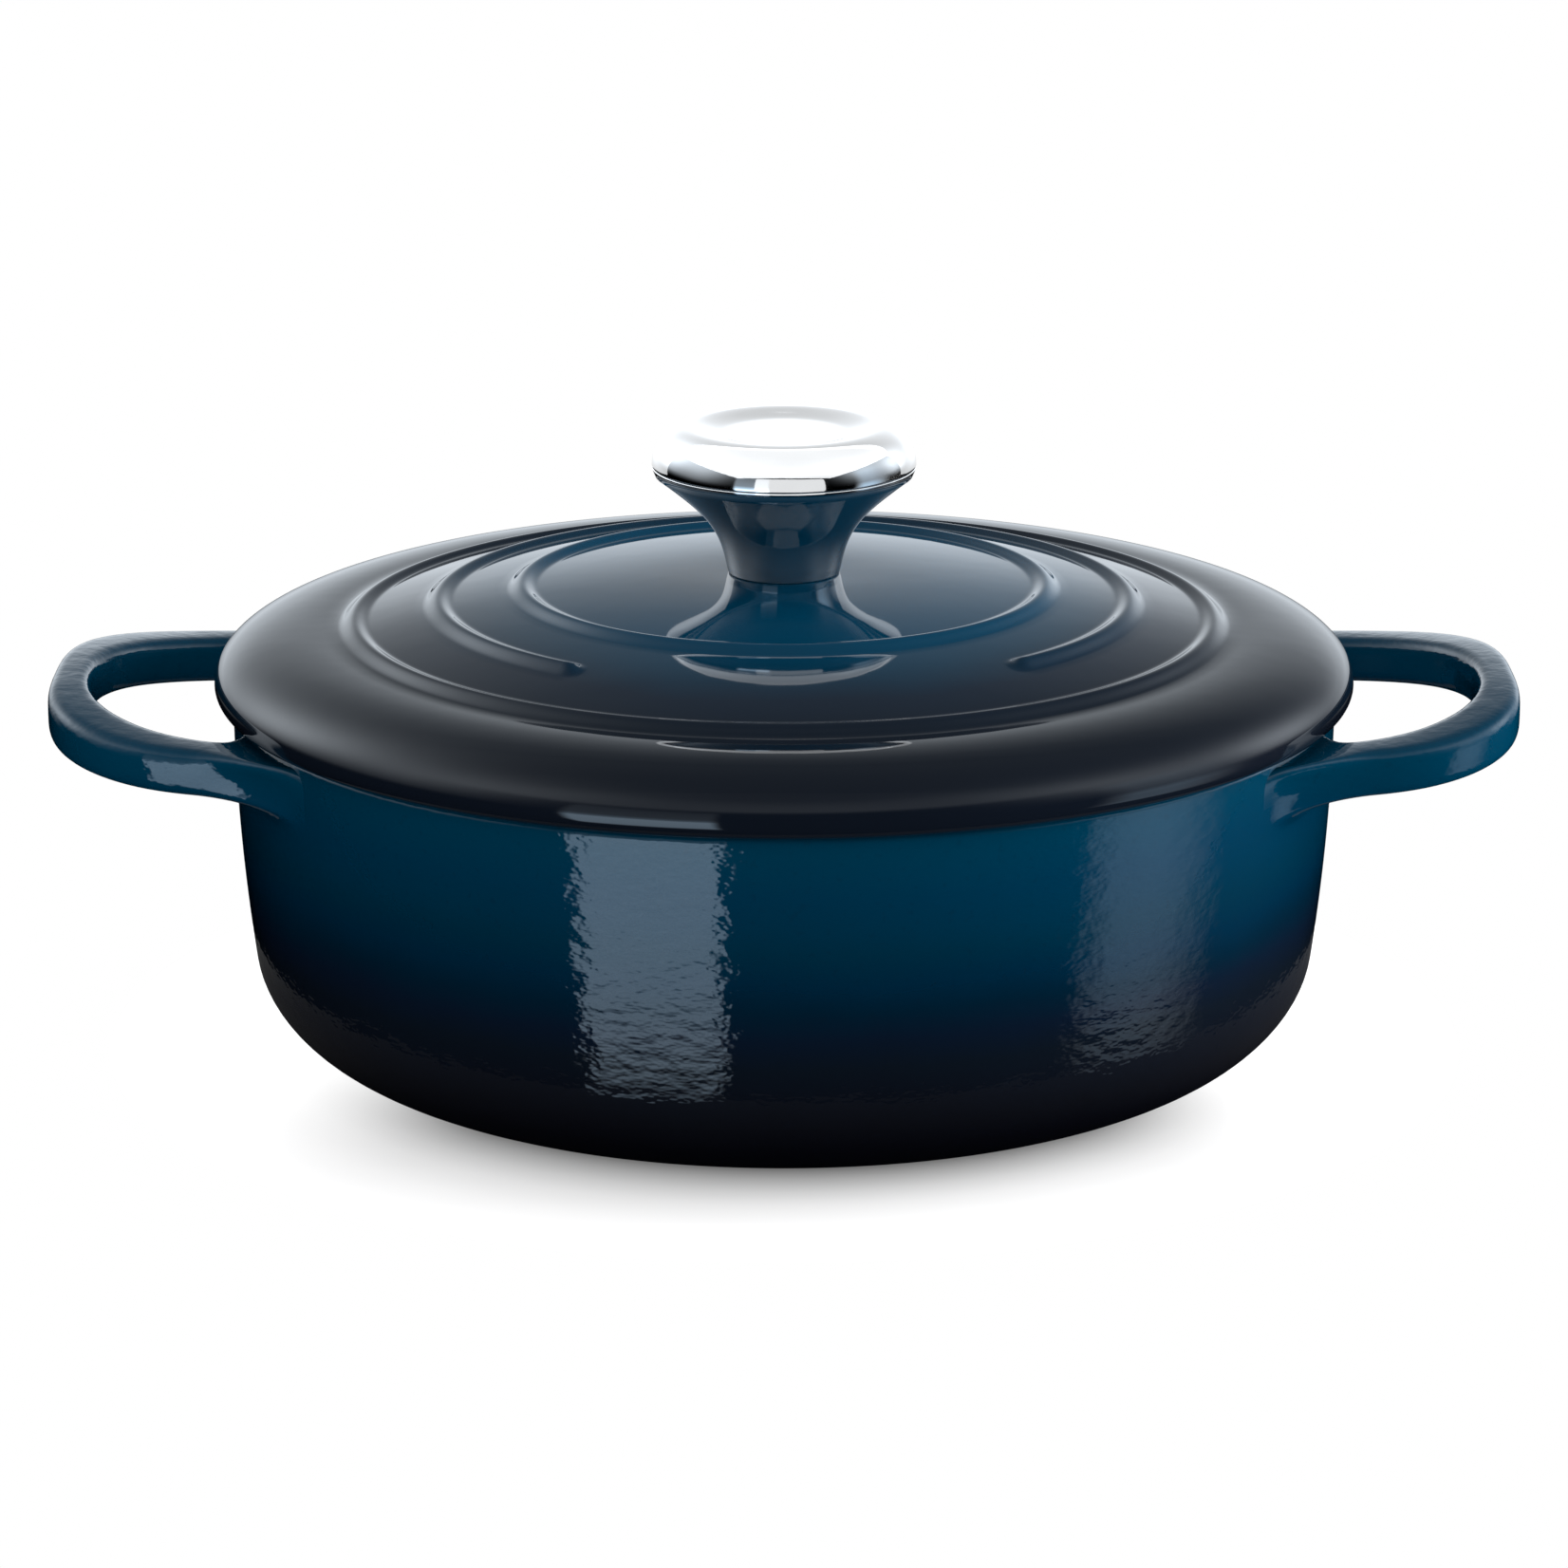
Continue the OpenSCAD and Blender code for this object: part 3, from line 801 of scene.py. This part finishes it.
def ring_tree():
    """Raises one rounded ring out of the lid's top. The ring may stop short on both sides of the front."""
    bench, given = new_tree("raise a ring", {
        "Ring Radius": "Float", "Ring Width": "Float", "Ring Height": "Float",
        "Half Gap": "Float", "Turn": "Float", "Finish": "Material"})
    place = bench.make("GeometryNodeInputPosition")
    parts = bench.make("ShaderNodeSeparateXYZ", sockets={0: place})
    x, y = parts.out("X"), parts.out("Y")
    away = (x * x + y * y) ** 0.5
    turn = given.out("Turn")
    ahead = x * bench.maths("SINE", turn) - y * turn.cosine()
    bearing = bench.maths("ARCCOSINE", (ahead / away.most(1e-6)).least(1.0).most(-1.0))
    past_end = (given.out("Half Gap") - bearing).most(0.0)
    radius = given.out("Ring Radius")
    square = away * away + radius * radius - 2 * radius * away * past_end.cosine()
    share = (square.most(0.0) ** 0.5 / (given.out("Ring Width") * 0.5)).least(1.0)
    rise = given.out("Ring Height") * (1 + (share * math.pi).cosine()) * 0.5
    upper = bench.make("GeometryNodeInputNamedAttribute", {"data_type": "FLOAT"}, {"Name": "upper"})
    lift = bench.make("ShaderNodeCombineXYZ", sockets={"Z": rise * upper})
    moved = {"Geometry": given.out("Geometry"), "Offset": lift}
    return end_tree(bench, given, bench.make("GeometryNodeSetPosition", sockets=moved))


def repeat_tree():
    """Repeats the object's own mesh round the Z axis."""
    bench, given = new_tree("repeat round the axis", {"Count": "Int", "Finish": "Material"})
    stands = bench.make("GeometryNodePoints", sockets={"Count": given.out("Count")})
    step = bench.make("GeometryNodeInputIndex") * (2 * math.pi) / given.out("Count")
    turn = bench.make("ShaderNodeCombineXYZ", sockets={"Z": step})
    copies = bench.make(
        "GeometryNodeInstanceOnPoints",
        sockets={"Points": stands, "Instance": given.out("Geometry"), "Rotation": turn},
    )
    return end_tree(bench, given, copies)


turn_tree = turning_tree()
raise_tree = ring_tree()
round_tree = repeat_tree()


# ---------------------------------------------------------------- pieces

def new_piece(name, points, edges=(), faces=(), marks=None):
    """A mesh object from points in millimetres, with values kept on its points."""
    mesh = bpy.data.meshes.new(name)
    mesh.from_pydata((np.asarray(points, float) * MM).tolist(), list(edges), list(faces))
    for mark, values in (marks or {}).items():
        mesh.attributes.new(mark, "FLOAT", "POINT").data.foreach_set("value", np.asarray(values, np.float32))
    piece = bpy.data.objects.new(name, mesh)
    bpy.context.scene.collection.objects.link(piece)
    return piece


def shape_by(piece, tree, **values):
    """Gives a piece a geometry tree, with the values of its named inputs."""
    modifier = piece.modifiers.new(tree.name, "NODES")
    modifier.node_group = tree
    for item in tree.interface.items_tree:
        label = item.name.lower().replace(" ", "_")
        if item.in_out == "INPUT" and label in values:
            modifier[item.identifier] = values[label]


def settle(piece):
    """Turns what a piece's modifiers make into its own plain mesh."""
    shown = piece.evaluated_get(bpy.context.evaluated_depsgraph_get())
    mesh = bpy.data.meshes.new_from_object(shown)
    piece.modifiers.clear()
    piece.data = mesh
    return piece


def turned(name, outline, base_z, facets, finish, closed):
    """A piece whose outline is turned round the axis. Each run's name is kept as a mark on its points."""
    points = np.concatenate([np.asarray(run, float) for _, run in outline])
    names = [mark for mark, run in outline for _ in run]
    guide_r = 60.0
    flat = np.column_stack([points[:, 0] - guide_r, -(points[:, 1] + base_z), np.zeros(len(points))])
    count = len(points)
    edges = [(i, (i + 1) % count) for i in range(count if closed else count - 1)]
    marks = {mark: [float(name_here == mark) for name_here in names] for mark in set(names)}
    piece = new_piece(name, flat, edges=edges, marks=marks)
    shape_by(piece, turn_tree, facets=facets, guide_radius=guide_r * MM, finish=finish)
    return piece


def smooth(piece, angle):
    """Smooth shading, with creases where faces meet at more than the angle, and normals outwards."""
    form = bmesh.new()
    form.from_mesh(piece.data)
    bmesh.ops.recalc_face_normals(form, faces=form.faces)
    form.to_mesh(piece.data)
    form.free()
    piece.data.polygons.foreach_set("use_smooth", [True] * len(piece.data.polygons))
    piece.data.set_sharp_from_angle(angle=math.radians(angle))


def join(piece, *others):
    """Adds the others' meshes to a piece."""
    form = bmesh.new()
    for part in (piece, *others):
        form.from_mesh(part.data)
    form.to_mesh(piece.data)
    form.free()
    for other in others:
        bpy.data.objects.remove(other)


def hand_over(piece, body, slot, *nodes):
    """Names the body that a finished piece rides on and the solids it stands for, which it hides. The
    finish's slot is not used.
    """
    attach(piece, body)
    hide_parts(*nodes)


def power(v, n):
    """Squares off a circle's sine or cosine. At n = 2 it stays round."""
    return np.sign(v) * np.abs(v) ** (2 / n)


def loop_ring(a, sides):
    """Points round the handle's bar, a degrees from its tip."""
    c, s = math.cos(math.radians(a)), math.sin(math.radians(a))
    mid_r = pot_r - rim_wall / 2

    def reach(tip, half, n):
        root = math.sqrt(mid_r ** 2 - half ** 2)
        return np.array([root + (tip - root) * c ** (2 / n), half * s ** (2 / n)])

    outer = reach(handle_tip, handle_half, loop_square)
    inner = reach(handle_tip - bar_w, finger_half, finger_square)
    top = pot_h - arm_drop + tip_rise * c * c
    high = arm_h + (bar_h - arm_h) * c * c
    turn = 2 * np.pi * np.arange(sides) / sides
    u, v = power(np.cos(turn), bar_square), power(np.sin(turn), bar_square)
    flat = (outer + inner) / 2 + np.outer(u, (outer - inner) / 2)
    return np.column_stack([flat, top - high / 2 + v * high / 2])


def wall_point(bearing, z):
    """Points on the pot's outer wall, bearing in degrees from the handle's middle."""
    z = np.minimum(z, pot_h - rim_round)
    r = outer_r(z)
    b = np.radians(bearing)
    return np.column_stack([r * np.cos(b), r * np.sin(b), z])


def root_strands(start, way, steps):
    """Carries each point round the bar on into the wall, so that the arm flows out over it."""
    sides = len(start)
    turn = 2 * np.pi * np.arange(sides) / sides
    u, v = power(np.cos(turn), root_square), power(np.sin(turn), root_square)
    bearing = root_mid + root_half * u
    z = (root_low + root_high) / 2 + v * (root_high - root_low) / 2
    end = wall_point(bearing, z)
    b = np.radians(bearing)
    along = np.column_stack([-np.sin(b), np.cos(b), np.zeros(sides)])
    inward = np.column_stack([-np.cos(b), -np.sin(b), np.zeros(sides)])
    up = np.array([0, 0, 1.0])
    # How much each strand belongs to the arm's far side, near side, underside and top
    shares = np.column_stack([np.maximum(u, 0), np.maximum(-u, 0), np.maximum(-v, 0), np.maximum(v, 0)]) ** 2
    flow = (shares[:, :1] - shares[:, 1:2]) * along - shares[:, 2:3] * up + shares[:, 3:] * inward
    flow /= np.linalg.norm(flow, axis=1)[:, None]
    leave = (shares @ root_leave) / shares.sum(axis=1)
    land = (shares @ root_land) / shares.sum(axis=1)
    strands = [start, start + way * leave[:, None], end - flow * land[:, None], end]
    rings = bezier(strands, np.linspace(0, 1, steps + 1)[1:])
    tuck = end + flow * 1.0 + inward * 0.15
    deep = end + inward * 1.6
    return np.concatenate([rings, tuck[None], deep[None]])


def handle_loop(name):
    """One loop handle, from root to root, with its ends inside the wall."""
    sides, steps, last = 44, 14, 75.0
    dense = np.linspace(0, last, 400)
    middles = np.array([loop_ring(a, 4).mean(axis=0) for a in dense])
    length = np.concatenate([[0], np.cumsum(np.linalg.norm(np.diff(middles, axis=0), axis=1))])
    angles = np.interp(np.linspace(0, length[-1], 46), length, dense)
    half = np.array([loop_ring(a, sides) for a in angles])
    way = loop_ring(last + 0.4, sides) - loop_ring(last - 0.4, sides)
    way /= np.linalg.norm(way, axis=1)[:, None]
    half = np.concatenate([half, root_strands(half[-1], way, steps)])
    mirrored = half[:0:-1] * (1, -1, 1)
    rings = np.concatenate([mirrored, half])
    count = len(rings)
    faces = []
    for near in range(0, (count - 1) * sides, sides):
        far = near + sides
        faces += [(near + k, near + (k + 1) % sides, far + (k + 1) % sides, far + k) for k in range(sides)]
    ends = [rings[0].mean(axis=0), rings[-1].mean(axis=0)]
    points = np.concatenate([rings.reshape(-1, 3), ends])
    last_ring, first_end, last_end = (count - 1) * sides, count * sides, count * sides + 1
    faces += [(k, first_end, (k + 1) % sides) for k in range(sides)]
    faces += [(last_ring + (k + 1) % sides, last_end, last_ring + k) for k in range(sides)]
    return new_piece(name, points, faces=faces)


def make_pot():
    """The turned casting with a loop handle on each side."""
    pot = settle(turned("pot_casting", pot_outline(), 0, 320, pot_enamel, closed=False))
    right = handle_loop("handle")
    shape_by(right, round_tree, count=2, finish=pot_enamel)
    join(pot, settle(right))
    smooth(pot, 50)
    hand_over(pot, "pot", "pot_enamel", "pot")


def lug_block():
    """The locating lug at the back of the lid, bent to the rim's curve and rounded at its end."""
    form = bmesh.new()
    bmesh.ops.create_cube(form, size=1.0)
    foot = (crown(lug_r - lug_t) - lid_wall + crown(lug_r)) / 2
    for vert in form.verts:
        x, y, z = vert.co
        vert.co = ((lug_r - lug_t / 2) + x * lug_t, y * lug_l, -lug_reach + (z + 0.5) * (foot + lug_reach))
    long_edges = [e for e in form.edges if abs(e.verts[0].co.y - e.verts[1].co.y) > 1]
    bmesh.ops.subdivide_edges(form, edges=long_edges, cuts=6, use_grid_fill=True)
    low = [e for e in form.edges if min(v.co.z for v in e.verts) < -lug_reach + 0.01 or
           (abs(e.verts[0].co.z - e.verts[1].co.z) > 1 and abs(e.verts[0].co.y) > lug_l / 2 - 0.01)]
    bmesh.ops.bevel(form, geom=low, offset=lug_round, segments=3, affect="EDGES", profile=0.5)
    for vert in form.verts:
        x, y, z = vert.co
        bearing = y / lug_r + math.pi / 2
        vert.co = (x * math.cos(bearing), x * math.sin(bearing), z)
    points = [tuple(v.co) for v in form.verts]
    form.verts.index_update()
    faces = [tuple(v.index for v in f.verts) for f in form.faces]
    form.free()
    return points, faces


def make_lid():
    """The turned casting, with its three rings raised and three lugs joined underneath."""
    lid = turned("lid_casting", lid_outline(), lid_z, 432, lid_enamel, closed=True)
    for radius, gap in ((first_ring_r, 0), (middle_ring_r, ring_gap), (outer_ring_r, 0)):
        shape_by(lid, raise_tree, ring_radius=radius * MM, ring_width=ring_w * MM, ring_height=ring_h * MM,
                 half_gap=gap / 2, turn=lid_turn, finish=lid_enamel)
    settle(lid)
    points, faces = lug_block()
    c, s = math.cos(lid_turn), math.sin(lid_turn)
    turn = np.array([[c, s, 0], [-s, c, 0], [0, 0, 1]])
    points = np.array(points) @ turn + (0, 0, lid_z)
    lug = new_piece("lug", points, faces=faces, marks={"lining": [1.0] * len(points)})
    shape_by(lug, round_tree, count=3, finish=lid_enamel)
    join(lid, settle(lug))
    smooth(lid, 40)
    hand_over(lid, "lid", "lid_enamel", "lid")


def make_knob():
    """The flared stem and the dished cap that closes it, both of sheet steel."""
    stem = settle(turned("knob_stem_shell", stem_outline(), knob_z, 192, steel, closed=True))
    smooth(stem, 50)
    steel_pieces.objects.link(stem)
    hand_over(stem, "lid", "polished_steel", "knob_stem")
    cap = settle(turned("knob_cap_shell", cap_outline(), knob_z, 192, steel, closed=True))
    smooth(cap, 50)
    steel_pieces.objects.link(cap)
    hand_over(cap, "lid", "polished_steel", "knob_cap")


def dress(node, finish):
    """Gives a solid of the frame its finish. Its shape is complete as it is."""
    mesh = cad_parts[node].data
    mesh.materials.clear()
    mesh.materials.append(finish)


make_pot()
make_lid()
make_knob()
for node in ("knob_bush", "knob_screw", "flat_washer", "lock_washer"):
    dress(node, zinc)
